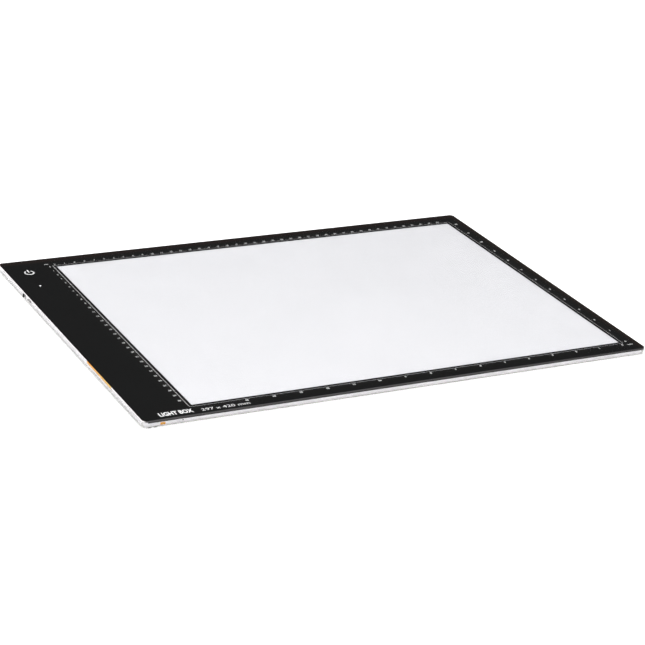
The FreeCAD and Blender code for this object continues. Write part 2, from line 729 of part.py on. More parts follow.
# ---- control board ----

def control_board():
    """Green board with notches for the inlet and the switch, and holes for the stakes."""
    board = block(BOARD_X0, BOARD_X1, BOARD_FRONT_Y, BOARD_BACK_Y, Z_BOARD, Z_BOARD_TOP)
    for x1, y, width in ((SHELL_X1, INLET_Y, SHELL_WIDTH), (SWITCH_X1, SWITCH_Y, SWITCH_WIDTH)):
        reach = width / 2 + BOARD_NOTCH_GAP
        notch = block(BOARD_X0, x1 + BOARD_NOTCH_GAP, y - reach, y + reach, Z_BOARD, Z_BOARD_TOP)
        board = board.cut(notch)
    for x, y in STAKE_PLACES:
        board = board.cut(upright(STAKE_RADIUS + STAKE_GAP, x, y, Z_BOARD, Z_BOARD_TOP))
    return board


def board_parts(places):
    """Blocks that stand on the control board."""
    blocks = []
    for x, y, length, width, height in places:
        blocks.append(block_on(x, y, Z_BOARD_TOP, length, width, height))
    return Part.makeCompound(blocks)


def control_chips():
    return board_parts(CHIPS)


def power_inductor():
    """Shielded coil: a block with cut corners and a round core in its top."""
    x, y, length, width, height = INDUCTOR
    body = block_on(x, y, Z_BOARD_TOP, length, width, height)
    body = body.makeChamfer(INDUCTOR_CORNER, [edge for edge in body.Edges if is_vertical(edge)])
    z1 = Z_BOARD_TOP + height
    z0 = z1 - INDUCTOR_GROOVE_DEPTH
    core = upright(INDUCTOR_CORE_RADIUS, x, y, z0, z1)
    return body.cut(upright(INDUCTOR_GROOVE_RADIUS, x, y, z0, z1).cut(core))


def board_capacitors():
    return board_parts([(CAPACITOR_X, y) + CAPACITOR_SIZE for y in CAPACITOR_Y])


def board_resistors():
    return board_parts([(RESISTOR_X, y) + RESISTOR_SIZE for y in RESISTOR_Y])


def solder_tabs():
    """Metal tabs that hold the inlet and the switch to the board."""
    places = [(SHELL_X0 + offset, INLET_Y, SHELL_WIDTH) for offset in SHELL_TAB_OFFSETS]
    places.append((SWITCH_X0 + SWITCH_TAB_OFFSET, SWITCH_Y, SWITCH_WIDTH))
    tabs = []
    for x, y, width in places:
        for side in (-1, 1):
            tab_y = y + side * (width + SOLDER_TAB_LENGTH) / 2
            tabs.append(
                block_on(x, tab_y, Z_BOARD_TOP, SOLDER_TAB_WIDTH, SOLDER_TAB_LENGTH, SOLDER_TAB_THICKNESS)
            )
    return Part.makeCompound(tabs)


def header_cavity(x, face_y, side, gap):
    """Space inside a header, or the plug's own nose when a gap is taken off it."""
    y0, y1 = sorted((face_y, face_y - side * (PLUG_ENGAGEMENT - gap)))
    half = HEADER_WIDTH / 2 - HEADER_WALL - gap
    z0 = Z_BOARD_TOP + HEADER_WALL + gap
    z1 = Z_BOARD_TOP + HEADER_HEIGHT - HEADER_WALL - gap
    return block(x - half, x + half, y0, y1, z0, z1)


def header(x, face_y, side):
    """Board connector, open towards the front (-1) or the back (+1)."""
    y0, y1 = sorted((face_y, face_y - side * HEADER_DEPTH))
    half = HEADER_WIDTH / 2
    body = block(x - half, x + half, y0, y1, Z_BOARD_TOP, Z_BOARD_TOP + HEADER_HEIGHT)
    return body.cut(header_cavity(x, face_y, side, 0.0))


def plug(x, face_y, side):
    """Lead's connector, seated in its header."""
    nose = header_cavity(x, face_y, side, PLUG_GAP)
    box = nose.BoundBox
    y0, y1 = sorted((face_y, face_y + side * PLUG_STAND_OUT))
    return nose.fuse(block(box.XMin, box.XMax, y0, y1, box.ZMin, box.ZMax)).removeSplitter()


def battery_header():
    return header(BATTERY_HEADER_X, FRONT_HEADER_Y, -1)


def battery_plug():
    return plug(BATTERY_HEADER_X, FRONT_HEADER_Y, -1)


def lamp_headers():
    front = header(FRONT_LAMP_HEADER_X, FRONT_HEADER_Y, -1)
    return Part.makeCompound([front, header(BACK_LAMP_HEADER_X, BACK_HEADER_Y, 1)])


def lamp_plugs():
    front = plug(FRONT_LAMP_HEADER_X, FRONT_HEADER_Y, -1)
    return Part.makeCompound([front, plug(BACK_LAMP_HEADER_X, BACK_HEADER_Y, 1)])


def lamp_lead_front():
    """Twin lead from the board, down the channel beside the divider, to the front lamp strip."""
    cores = []
    for z in LAMP_LEAD_Z:
        points = [
            vector(FRONT_LAMP_HEADER_X, FRONT_PLUG_Y, z),
            vector(FRONT_LAMP_HEADER_X, LEAD_LEVEL_Y, z),
            vector(LEAD_CHANNEL_X, LEAD_RISE_Y, z),
            vector(LEAD_CHANNEL_X, -LAMP_LEAD_Y, z),
            vector(LAMP_LEAD_END_X, -LAMP_LEAD_Y, z),
        ]
        cores.append(lead(points, LAMP_LEAD_BEND, LAMP_LEAD_RADIUS))
    return Part.makeCompound(cores)


def lamp_lead_back():
    """Twin lead from the board to the back lamp strip."""
    cores = []
    for z in LAMP_LEAD_Z:
        points = [
            vector(BACK_LAMP_HEADER_X, BACK_PLUG_Y, z),
            vector(BACK_LAMP_HEADER_X, LAMP_LEAD_Y, z),
            vector(LAMP_LEAD_END_X, LAMP_LEAD_Y, z),
        ]
        cores.append(lead(points, LAMP_LEAD_BEND, LAMP_LEAD_RADIUS))
    return Part.makeCompound(cores)


# ---- controls ----

def inlet_shell():
    """Power socket body, with a blind round bore that faces -X."""
    half_width = SHELL_WIDTH / 2
    half_height = SHELL_HEIGHT / 2
    body = block(
        SHELL_X0,
        SHELL_X1,
        INLET_Y - half_width,
        INLET_Y + half_width,
        INLET_Z - half_height,
        INLET_Z + half_height,
    )
    bore = along_x(INLET_BORE_RADIUS, SHELL_X0, SHELL_X0 + INLET_BORE_DEPTH, INLET_Y, INLET_Z)
    root_hole = along_x(INLET_ROOT_RADIUS + INLET_ROOT_GAP, SHELL_X0, SHELL_X1, INLET_Y, INLET_Z)
    return body.cut(bore).cut(root_hole)


def inlet_pin():
    """Centre contact: a pin, a thicker root in the shell's back wall and a flange behind it."""
    root_x = SHELL_X0 + INLET_BORE_DEPTH
    tip_x = root_x - INLET_PIN_LENGTH
    pin = along_x(INLET_PIN_RADIUS, tip_x, root_x, INLET_Y, INLET_Z)
    pin = pin.makeChamfer(INLET_PIN_CHAMFER, [edge for edge in pin.Edges if is_across(edge, tip_x)])
    root = along_x(INLET_ROOT_RADIUS, root_x, SHELL_X1, INLET_Y, INLET_Z)
    flange = along_x(INLET_FLANGE_RADIUS, SHELL_X1, SHELL_X1 + INLET_FLANGE, INLET_Y, INLET_Z)
    return pin.fuse(root).fuse(flange)


def switch_body():
    """Slide switch case, with a slot for the lever in its outer face."""
    reach_y = (SWITCH_TRAVEL + LEVER_WIDTH) / 2 + LEVER_GAP
    reach_z = LEVER_WIDTH / 2 + LEVER_GAP
    half_width = SWITCH_WIDTH / 2
    half_height = SWITCH_HEIGHT / 2
    body = block(
        SWITCH_X0,
        SWITCH_X1,
        SWITCH_Y - half_width,
        SWITCH_Y + half_width,
        SWITCH_Z - half_height,
        SWITCH_Z + half_height,
    )
    slot_x1 = SWITCH_X0 + LEVER_TAIL + LEVER_GAP
    slot = block(
        SWITCH_X0,
        slot_x1,
        SWITCH_Y - reach_y,
        SWITCH_Y + reach_y,
        SWITCH_Z - reach_z,
        SWITCH_Z + reach_z,
    )
    return body.cut(slot)


def switch_lever():
    """Lever in its off position, at the front end of its travel."""
    x0 = SWITCH_X0 - LEVER_STAND_OUT
    y = SWITCH_Y - SWITCH_TRAVEL / 2
    half = LEVER_WIDTH / 2
    lever = block(x0, SWITCH_X0 + LEVER_TAIL, y - half, y + half, SWITCH_Z - half, SWITCH_Z + half)
    return lever.makeFillet(LEVER_ROUNDING, [edge for edge in lever.Edges if is_across(edge, x0)])


def touch_pad():
    """Round sensing pad bonded behind the power symbol."""
    return upright(TOUCH_PAD_RADIUS, TOUCH_X, TOUCH_Y, Z_MASK - TOUCH_PAD_THICKNESS, Z_MASK)


def touch_post():
    """Conductive foam post from the control board up to the sensing pad."""
    return upright(TOUCH_POST_RADIUS, TOUCH_X, TOUCH_Y, Z_BOARD_TOP, Z_MASK - TOUCH_PAD_THICKNESS)


def indicator_lamp():
    return block_on(
        INDICATOR_X,
        INDICATOR_Y,
        Z_BOARD_TOP,
        INDICATOR_LAMP_LENGTH,
        INDICATOR_LAMP_WIDTH,
        INDICATOR_LAMP_HEIGHT,
    )


def light_pipe():
    """Milky rod with a flange, bonded behind the indicator's dot."""
    foot_z = Z_BOARD_TOP + INDICATOR_LAMP_HEIGHT + LIGHT_PIPE_GAP
    flange_z = Z_MASK - LIGHT_PIPE_FLANGE
    rod = upright(LIGHT_PIPE_RADIUS, INDICATOR_X, INDICATOR_Y, foot_z, Z_MASK)
    return rod.fuse(upright(LIGHT_PIPE_FLANGE_RADIUS, INDICATOR_X, INDICATOR_Y, flange_z, Z_MASK))


SUBPARTS = {
    "top_panel": top_panel,
    "print_mask": print_mask,
    "foam_tape": foam_tape,
    "rim_frame": rim_frame,
    "cover_tape": cover_tape,
    "back_cover": back_cover,
    "rubber_feet": rubber_feet,
    "cover_screws": cover_screws,
    "rating_label": rating_label,
    "inner_frame": inner_frame,
    "reflector_sheet": reflector_sheet,
    "light_guide": light_guide,
    "guide_edge_tape": guide_edge_tape,
    "prism_film": prism_film,
    "diffuser_plate": diffuser_plate,
    "lamp_board_front": lambda: lamp_board(-1),
    "lamp_board_back": lambda: lamp_board(1),
    "lamp_board_tape": lamp_board_tape,
    "lamps_front": lambda: lamp_packages(-1),
    "lamps_back": lambda: lamp_packages(1),
    "battery_cell": battery_cell,
    "battery_pads": battery_pads,
    "battery_tape": battery_tape,
    "battery_tabs": battery_tabs,
    "protection_board": protection_board,
    "protection_chips": protection_chips,
    "battery_lead_red": battery_lead_red,
    "battery_lead_black": battery_lead_black,
    "lead_tape": lead_tape,
    "control_board": control_board,
    "control_chips": control_chips,
    "power_inductor": power_inductor,
    "board_capacitors": board_capacitors,
    "board_resistors": board_resistors,
    "solder_tabs": solder_tabs,
    "battery_header": battery_header,
    "battery_plug": battery_plug,
    "lamp_headers": lamp_headers,
    "lamp_plugs": lamp_plugs,
    "lamp_lead_front": lamp_lead_front,
    "lamp_lead_back": lamp_lead_back,
    "inlet_shell": inlet_shell,
    "inlet_pin": inlet_pin,
    "switch_body": switch_body,
    "switch_lever": switch_lever,
    "touch_pad": touch_pad,
    "touch_post": touch_post,
    "indicator_lamp": indicator_lamp,
    "light_pipe": light_pipe,
}


os.makedirs("parts", exist_ok=True)
for name, build in SUBPARTS.items():
    shape = build()
    assert shape.isValid(), name
    shape.exportStep(os.path.join("parts", name + ".step"))
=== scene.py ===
import json
import math

import bmesh
import bpy
from mathutils import Matrix, Vector


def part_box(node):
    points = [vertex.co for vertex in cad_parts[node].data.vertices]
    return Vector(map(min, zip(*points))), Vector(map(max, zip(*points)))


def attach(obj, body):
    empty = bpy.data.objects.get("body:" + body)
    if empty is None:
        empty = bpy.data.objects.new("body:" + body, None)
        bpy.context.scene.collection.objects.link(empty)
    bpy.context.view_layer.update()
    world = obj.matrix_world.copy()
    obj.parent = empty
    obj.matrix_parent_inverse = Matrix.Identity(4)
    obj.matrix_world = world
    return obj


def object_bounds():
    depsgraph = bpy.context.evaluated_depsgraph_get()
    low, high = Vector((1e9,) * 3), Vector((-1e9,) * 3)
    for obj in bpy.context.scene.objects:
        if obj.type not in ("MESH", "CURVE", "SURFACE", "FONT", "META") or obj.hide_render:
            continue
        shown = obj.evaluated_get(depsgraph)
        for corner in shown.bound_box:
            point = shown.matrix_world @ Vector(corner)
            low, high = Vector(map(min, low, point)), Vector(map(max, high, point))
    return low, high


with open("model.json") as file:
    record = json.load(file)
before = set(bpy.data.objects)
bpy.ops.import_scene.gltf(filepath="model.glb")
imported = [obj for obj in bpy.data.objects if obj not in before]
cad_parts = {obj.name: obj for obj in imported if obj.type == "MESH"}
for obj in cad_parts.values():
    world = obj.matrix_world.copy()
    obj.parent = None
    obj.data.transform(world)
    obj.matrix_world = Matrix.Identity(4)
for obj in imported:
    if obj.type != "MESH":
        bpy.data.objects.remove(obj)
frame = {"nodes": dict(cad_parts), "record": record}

CAD_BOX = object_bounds()

# ---- camera: the photograph's viewing angle ----
LOOK_AZIMUTH = math.radians(29.587)
LOOK_DOWN = math.radians(23.428)
ROLL = math.radians(5.267)
DISTANCE = 1.9106
LENS_MM = 117.375
SENSOR_MM = 36.0
AIM_X = -0.01427
AIM_Y = -0.03742

# ---- printed marks, in metres ----
MM = 0.001
CENTIMETRE = 0.01
INCH = 0.0254
PRINT_THICKNESS = 0.03 * MM
BASELINE_OFFSET = 3.0 * MM
BASELINE_WIDTH = 0.16 * MM
LEFT_BASELINE_WIDTH = 0.27 * MM
TICK_WIDTH = 0.055 * MM
BACK_LABEL_OFFSET = 6.0 * MM
LEFT_LABEL_OFFSET = 6.4 * MM
LEFT_LABEL_SHIFT = 1.2 * MM
FRONT_LABEL_OFFSET = 5.9 * MM
RIGHT_LABEL_OFFSET = 7.7 * MM
FRONT_LABELS = 16
DIGIT_HEIGHT = 2.1 * MM
DIGIT_WEIGHT = 0.05 * MM
INCH_DIGIT_WEIGHT = 0.16 * MM
CM_TICKS = {10: 1.5 * MM, 5: 1.2 * MM, 1: 0.8 * MM}
INCH_TICKS = {16: 1.7 * MM, 8: 1.4 * MM, 4: 1.1 * MM, 2: 0.9 * MM, 1: 0.7 * MM}
POWER_SYMBOL = (-228.0 * MM, 145.8 * MM)
POWER_RING_RADIUS = 4.2 * MM
POWER_LINE_WIDTH = 1.25 * MM
INLET_Y = 104.6 * MM
INLET_Z = 5.05 * MM
INLET_BORE_RADIUS = 1.78 * MM
DARK_MARKS_X = (-242.7 * MM, -237.5 * MM)
DARK_MARKS_Y = -173.5 * MM
DARK_MARKS_Z = 0.0026
DARK_MARK_RADIUS = 1.6 * MM
FRAME_MARK = (-212.3 * MM, -170.8 * MM, 4.55 * MM)
FRAME_MARK_RADIUS = 0.55 * MM
TAPE_Y = (-106.0 * MM, -52.0 * MM)
TAPE_GLOW_Z = 6.9 * MM
RIM_HOLE_RADIUS = 1.99 * MM
LEFT_SIDE_X = -0.24
RAMP_STEP = 0.0001
ACRYLIC_IOR = 1.49
# painted shade: black for the inlet's deep bore and the rim's hole round it
BORE_SHADE_BLACK = (0.004, 0.004, 0.004)
CM_WORD_PLACE = (-7.9 * MM, 7.5 * MM)
CM_WORD_HEIGHT = 1.5 * MM
CM_WORD_WIDTH = 3.8 * MM
INCH_WORD_PLACE = (8.3 * MM, -7.0 * MM)
INCH_WORD_HEIGHT = 1.6 * MM
FLOOR_GLOW = 0.5
FLOOR_SIZE = 9.0
WORLD_STRENGTH = 0.04
# place, width and height in metres, and watts
SOFTBOXES = {
    "overhead": ((0.0, 0.0, 2.6), (4.0, 4.0), 118.0),
    "left_key": ((-2.4, 0.6, 1.1), (1.6, 1.2), 18.0),
    "front_fill": ((0.3, -2.6, 0.9), (2.4, 1.0), 21.0),
}
BODY = "light_box"


# ---- material building blocks ----

def new_material(name):
    material = bpy.data.materials.new(name)
    material.use_nodes = True
    return material


def add(material, kind, **values):
    """Adds a node; values name its properties or its input sockets."""
    node = material.node_tree.nodes.new(kind)
    for name, value in values.items():
        if hasattr(node, name):
            setattr(node, name, value)
        else:
            node.inputs[name.replace("_", " ").title()].default_value = value
    return node


def join(material, source, target):
    material.node_tree.links.new(source, target)


def place(material, stretch=(1.0, 1.0, 1.0)):
    """Coordinates in the object's own metres, stretched along each axis."""
    coordinates = add(material, "ShaderNodeTexCoord")
    mapping = add(material, "ShaderNodeMapping")
    mapping.inputs["Scale"].default_value = stretch
    join(material, coordinates.outputs["Object"], mapping.inputs["Vector"])
    return mapping.outputs["Vector"]


def noise(material, scale, detail=4.0, stretch=(1.0, 1.0, 1.0)):
    node = add(material, "ShaderNodeTexNoise", scale=scale, detail=detail)
    join(material, place(material, stretch), node.inputs["Vector"])
    return node.outputs["Fac"]


def spread(material, value, low, high):
    """Maps a pattern's middle range to the two given values."""
    node = add(material, "ShaderNodeMapRange")
    node.inputs["From Min"].default_value = 0.3
    node.inputs["From Max"].default_value = 0.7
    node.inputs["To Min"].default_value = low
    node.inputs["To Max"].default_value = high
    join(material, value, node.inputs["Value"])
    return node.outputs["Result"]


def between(material, factor, first, second):
    """Colour between two colours or colour sockets."""
    node = add(material, "ShaderNodeMix", data_type="RGBA")
    join(material, factor, node.inputs[0])
    for socket, colour in ((node.inputs[6], first), (node.inputs[7], second)):
        if isinstance(colour, tuple):
            socket.default_value = colour + (1.0,)
        else:
            join(material, colour, socket)
    return node.outputs[2]


def shaded(colour, amount):
    return tuple(min(1.0, channel * amount) for channel in colour)


def within(material, centre, reach, axes=(1.0, 1.0, 1.0)):
    """1 within reach of a point, measured along the given axes only, and 0 elsewhere."""
    offset = add(material, "ShaderNodeVectorMath", operation="SUBTRACT")
    offset.inputs[1].default_value = centre
    along = add(material, "ShaderNodeVectorMath", operation="MULTIPLY")
    along.inputs[1].default_value = axes
    distance = add(material, "ShaderNodeVectorMath", operation="LENGTH")
    near = add(material, "ShaderNodeMath", operation="LESS_THAN")
    near.inputs[1].default_value = reach
    join(material, place(material), offset.inputs[0])
    join(material, offset.outputs[0], along.inputs[0])
    join(material, along.outputs[0], distance.inputs[0])
    join(material, distance.outputs["Value"], near.inputs[0])
    return near.outputs[0]


def ramp(material, axis, start, end):
    """0 to 1 along one of the object's own axes, between two places in metres."""
    parts = add(material, "ShaderNodeSeparateXYZ")
    join(material, place(material), parts.inputs[0])
    node = add(material, "ShaderNodeMapRange")
    node.inputs["From Min"].default_value = start
    node.inputs["From Max"].default_value = end
    join(material, parts.outputs[axis], node.inputs["Value"])
    return node.outputs["Result"]


def beside_tape(material, z):
    """1 on the left side, above a height, where the amber tape lies behind; 0 elsewhere."""
    middle = (0.0, sum(TAPE_Y) / 2, 0.0)
    alongside = within(material, middle, (TAPE_Y[1] - TAPE_Y[0]) / 2, (0.0, 1.0, 0.0))
    left = ramp(material, 0, LEFT_SIDE_X, LEFT_SIDE_X - RAMP_STEP)
    above = ramp(material, 2, z, z + RAMP_STEP)
    both = add(material, "ShaderNodeMath", operation="MULTIPLY")
    all_three = add(material, "ShaderNodeMath", operation="MULTIPLY")
    join(material, alongside, both.inputs[0])
    join(material, left, both.inputs[1])
    join(material, both.outputs[0], all_three.inputs[0])
    join(material, above, all_three.inputs[1])
    return all_three.outputs[0]


def recolour(material, factor, colour):
    """Mixes another colour over the base colour where the factor is high."""
    base = material.node_tree.nodes["Principled BSDF"].inputs["Base Color"]
    plain = base.links[0].from_socket
    join(material, between(material, factor, plain, colour), base)


def lift(material, colour, strength):
    """A little light of the surface's own, for what passes through clear neighbours."""
    shader = material.node_tree.nodes["Principled BSDF"]
    shader.inputs["Emission Color"].default_value = colour + (1.0,)
    shader.inputs["Emission Strength"].default_value = strength


def relief(material, height, distance, strength=0.6):
    node = add(material, "ShaderNodeBump")
    node.inputs["Distance"].default_value = distance
    node.inputs["Strength"].default_value = strength
    join(material, height, node.inputs["Height"])
    return node.outputs["Normal"]


def surface(name, colour, roughness, mottle=0.05, cloud=45.0, grain=1500.0, depth=0.02 * MM,
            stretch=(1.0, 1.0, 1.0), metallic=0.0, coat=0.0, ior=1.5):
    """A principled material with clouded colour, uneven roughness and a fine grain."""
    material = new_material(name)
    shader = material.node_tree.nodes["Principled BSDF"]
    shader.inputs["Metallic"].default_value = metallic
    shader.inputs["Coat Weight"].default_value = coat
    shader.inputs["IOR"].default_value = ior
    clouds = noise(material, cloud, stretch=stretch)
    fine = noise(material, grain, stretch=stretch)
    cloudiness = spread(material, clouds, 0.0, 1.0)
    tint = between(material, cloudiness, shaded(colour, 1.0 - mottle), shaded(colour, 1.0 + mottle))
    join(material, tint, shader.inputs["Base Color"])
    join(material, spread(material, fine, roughness * 0.85, roughness * 1.15), shader.inputs["Roughness"])
    join(material, relief(material, fine, depth), shader.inputs["Normal"])
    return material


def let_light_through(material, shader_output, tint=(1.0, 1.0, 1.0)):
    """Sends the shader to the output, except that shadow rays pass straight through."""
    tree = material.node_tree
    output = tree.nodes["Material Output"]
    light_path = add(material, "ShaderNodeLightPath")
    transparent = add(material, "ShaderNodeBsdfTransparent")
    transparent.inputs["Color"].default_value = tint + (1.0,)
    mix = add(material, "ShaderNodeMixShader")
    join(material, light_path.outputs["Is Shadow Ray"], mix.inputs[0])
    join(material, shader_output, mix.inputs[1])
    join(material, transparent.outputs[0], mix.inputs[2])
    join(material, mix.outputs[0], output.inputs["Surface"])


def clear(name, colour, roughness, grain=700.0, depth=0.004 * MM, ior=ACRYLIC_IOR):
    """Clear acrylic with faint unevenness."""
    material = surface(name, colour, roughness, mottle=0.01, grain=grain, depth=depth, ior=ior)
    shader = material.node_tree.nodes["Principled BSDF"]
    shader.inputs["Transmission Weight"].default_value = 1.0
    let_light_through(material, shader.outputs[0], shaded(colour, 0.96))
    return material


def facing_value(material, axis):
    """One component of the surface's normal, given as an index of X, Y or Z."""
    geometry = add(material, "ShaderNodeNewGeometry")
    parts = add(material, "ShaderNodeSeparateXYZ")
    join(material, geometry.outputs["Normal"], parts.inputs[0])
    return parts.outputs[axis]


def facing(material, axis, low, high):
    """0 to 1 as the surface's normal turns along an axis."""
    node = add(material, "ShaderNodeMapRange")
    node.inputs["From Min"].default_value = low
    node.inputs["From Max"].default_value = high
    join(material, facing_value(material, axis), node.inputs["Value"])
    return node.outputs["Result"]


# ---- the record's materials ----

def clear_panel():
    """Clear sheet with dark edges, but for its left edge: painted white, a painted highlight, and painted
    amber beside the tape, the tape's glow seen through it.
    """
    material = clear("clear_panel", (0.97, 0.975, 0.98), 0.06, grain=2200.0, depth=0.003 * MM)
    tree = material.node_tree
    output = tree.nodes["Material Output"]
    faces = output.inputs["Surface"].links[0].from_socket
    dark = add(material, "ShaderNodeBsdfPrincipled")
    turned_back = facing(material, 1, -0.2, 0.2)
    edge_tint = between(material, turned_back, (0.02, 0.018, 0.019), (0.05, 0.024, 0.018))
    join(material, edge_tint, dark.inputs["Base Color"])
    dark.inputs["IOR"].default_value = ACRYLIC_IOR
    # painted highlight: the left edge is painted near-white where light from the left falls on it
    painted_bright_left_edge = add(material, "ShaderNodeBsdfPrincipled")
    painted_bright_left_edge.inputs["IOR"].default_value = ACRYLIC_IOR
    marks = noise(material, 900.0, stretch=(1.0, 6.0, 0.4))
    white = between(material, marks, (0.92, 0.87, 0.88), (0.97, 0.95, 0.96))
    # painted glow: amber on the left edge where the tape lies behind it
    amber = between(material, ramp(material, 1, *TAPE_Y), (0.9, 0.6, 0.16), (0.92, 0.36, 0.05))
    join(material, between(material, beside_tape(material, 0.0), white, amber), painted_bright_left_edge.inputs["Base Color"])
    join(material, spread(material, marks, 0.35, 0.55), painted_bright_left_edge.inputs["Roughness"])
    join(material, spread(material, marks, 0.12, 0.2), dark.inputs["Roughness"])
    edges = add(material, "ShaderNodeMixShader")
    join(material, facing(material, 0, -0.3, -0.6), edges.inputs[0])
    join(material, dark.outputs[0], edges.inputs[1])
    join(material, painted_bright_left_edge.outputs[0], edges.inputs[2])
    upright = add(material, "ShaderNodeMixShader")
    level = add(material, "ShaderNodeMath", operation="ABSOLUTE")
    join(material, facing_value(material, 2), level.inputs[0])
    flat = add(material, "ShaderNodeMath", operation="GREATER_THAN")
    flat.inputs[1].default_value = 0.9
    join(material, level.outputs[0], flat.inputs[0])
    join(material, flat.outputs[0], upright.inputs[0])
    join(material, edges.outputs[0], upright.inputs[1])
    join(material, faces, upright.inputs[2])
    join(material, upright.outputs[0], output.inputs["Surface"])
    return material


def diffuser_white():
    """Milky sheet, softly lit from inside."""
    material = surface("diffuser_white", (0.57, 0.562, 0.573), 0.5, mottle=0.01, cloud=4.0, grain=3000.0)
    lift(material, (0.95, 0.94, 1.0), 0.05)
    return material


def light_pipe_white():
    """Milky rod that carries a faint glow."""
    material = surface("light_pipe_white", (0.9, 0.9, 0.92), 0.3)
    lift(material, (1.0, 1.0, 1.0), 1.0)
    return material


def clear_rim():
    """Clear rim, with a painted amber glow where its top edge lies beside the tape, and painted shade, black,
    round the inlet's hole.

    The black is limited in Y and Z only, so it repeats on the right side.
    """
    material = clear("clear_rim", (0.97, 0.965, 0.97), 0.12, grain=500.0, depth=0.01 * MM, ior=1.2)
    # painted glow: amber on the rim where the tape lies behind it
    recolour(material, beside_tape(material, TAPE_GLOW_Z), (0.9, 0.5, 0.12))
    # painted shade: the rim round the inlet's hole is painted black
    inlet_hole_shade = within(material, (0.0, INLET_Y, INLET_Z), RIM_HOLE_RADIUS, (0.0, 1.0, 1.0))
    recolour(material, inlet_hole_shade, BORE_SHADE_BLACK)
    return material


def amber_tape():
    """Clear amber film over foil."""
    material = surface("amber_tape", (0.75, 0.33, 0.035), 0.22, mottle=0.18, cloud=60.0, coat=0.4)
    # painted glow: the tape gives a faint amber light of its own
    lift(material, (0.9, 0.42, 0.04), 0.08)
    return material


def natural_nylon():
    """Off-white moulded nylon, with painted shade inside the inlet's bore: black."""
    material = surface("natural_nylon", (0.8, 0.79, 0.77), 0.45)
    # painted shade: black inside the inlet's bore
    bore_shade = within(material, (0.0, INLET_Y, INLET_Z), INLET_BORE_RADIUS, (0.0, 1.0, 1.0))
    recolour(material, bore_shade, BORE_SHADE_BLACK)
    return material


def white_tape():
    """White bonding tape, with two dark marks near its front left corner."""
    material = surface("white_tape", (0.85, 0.85, 0.84), 0.6)
    for x in DARK_MARKS_X:
        mark = within(material, (x, DARK_MARKS_Y, DARK_MARKS_Z), DARK_MARK_RADIUS)
        recolour(material, mark, (0.05, 0.045, 0.04))
    # painted light: a glow of its own lifts the tape, which lies in shade under the rim
    lift(material, (1.0, 1.0, 0.99), 0.16)
    return material


def white_frame():
    """White moulding with a small dark mark in its front wall."""
    material = surface("white_frame", (0.86, 0.855, 0.87), 0.45, mottle=0.03)
    recolour(material, within(material, FRAME_MARK, FRAME_MARK_RADIUS), (0.02, 0.02, 0.02))
    # painted light: a faint glow of its own lifts the frame's shaded walls behind the rim
    lift(material, (1.0, 0.99, 1.0), 0.02)
    return material


def black_print():
    """Matt black print, a little brown towards its right and back edges."""
    material = surface("black_print", (0.0032, 0.0031, 0.0031), 0.5, mottle=0.1, ior=1.3)
    for axis, start, end in ((0, 0.241, 0.249), (1, 0.164, 0.174)):
        recolour(material, ramp(material, axis, start, end), (0.022, 0.011, 0.008))
    return material


def lamp_phosphor():
    """White lamp cases with a yellow window in the faces that look along Y."""
    material = surface("lamp_phosphor", (0.85, 0.85, 0.83), 0.35)
    shader = material.node_tree.nodes["Principled BSDF"]
    plain = shader.inputs["Base Color"].links[0].from_socket
    along = add(material, "ShaderNodeMath", operation="ABSOLUTE")
    join(material, facing_value(material, 1), along.inputs[0])
    tint = between(material, along.outputs[0], plain, (0.85, 0.62, 0.08))
    join(material, tint, shader.inputs["Base Color"])
    return material


def board_green():
    """Solder mask with lighter copper tracks under it."""
    material = surface("board_green", (0.02, 0.16, 0.06), 0.3, mottle=0.15, coat=0.3)
    shader = material.node_tree.nodes["Principled BSDF"]
    plain = shader.inputs["Base Color"].links[0].from_socket
    tracks = add(material, "ShaderNodeTexBrick", scale=260.0)
    tracks.inputs["Mortar Size"].default_value = 0.03
    join(material, place(material), tracks.inputs["Vector"])
    tint = between(material, tracks.outputs["Fac"], plain, (0.05, 0.32, 0.13))
    join(material, tint, shader.inputs["Base Color"])
    return material


def prism_film():
    """Clear film with fine ribs along X."""
    material = clear("prism_film", (0.95, 0.96, 0.97), 0.2)
    shader = material.node_tree.nodes["Principled BSDF"]
    ribs = add(material, "ShaderNodeTexWave", scale=1200.0, bands_direction="Y")
    join(material, place(material), ribs.inputs["Vector"])
    join(material, relief(material, ribs.outputs["Fac"], 0.02 * MM), shader.inputs["Normal"])
    return material


def cell_foil():
    """Satin foil pouch with soft creases."""
    material = surface("cell_foil", (0.62, 0.63, 0.66), 0.34, mottle=0.08, metallic=0.85)
    shader = material.node_tree.nodes["Principled BSDF"]
    creases = noise(material, 90.0, stretch=(1.0, 0.35, 1.0))
    join(material, relief(material, creases, 0.6 * MM, 0.5), shader.inputs["Normal"])
    return material


def label_paper():
    """Blank satin label with a grain drawn out along Y."""
    return surface("label_paper", (0.66, 0.68, 0.7), 0.45, mottle=0.03, grain=2600.0, stretch=(1.0, 3.0, 1.0))


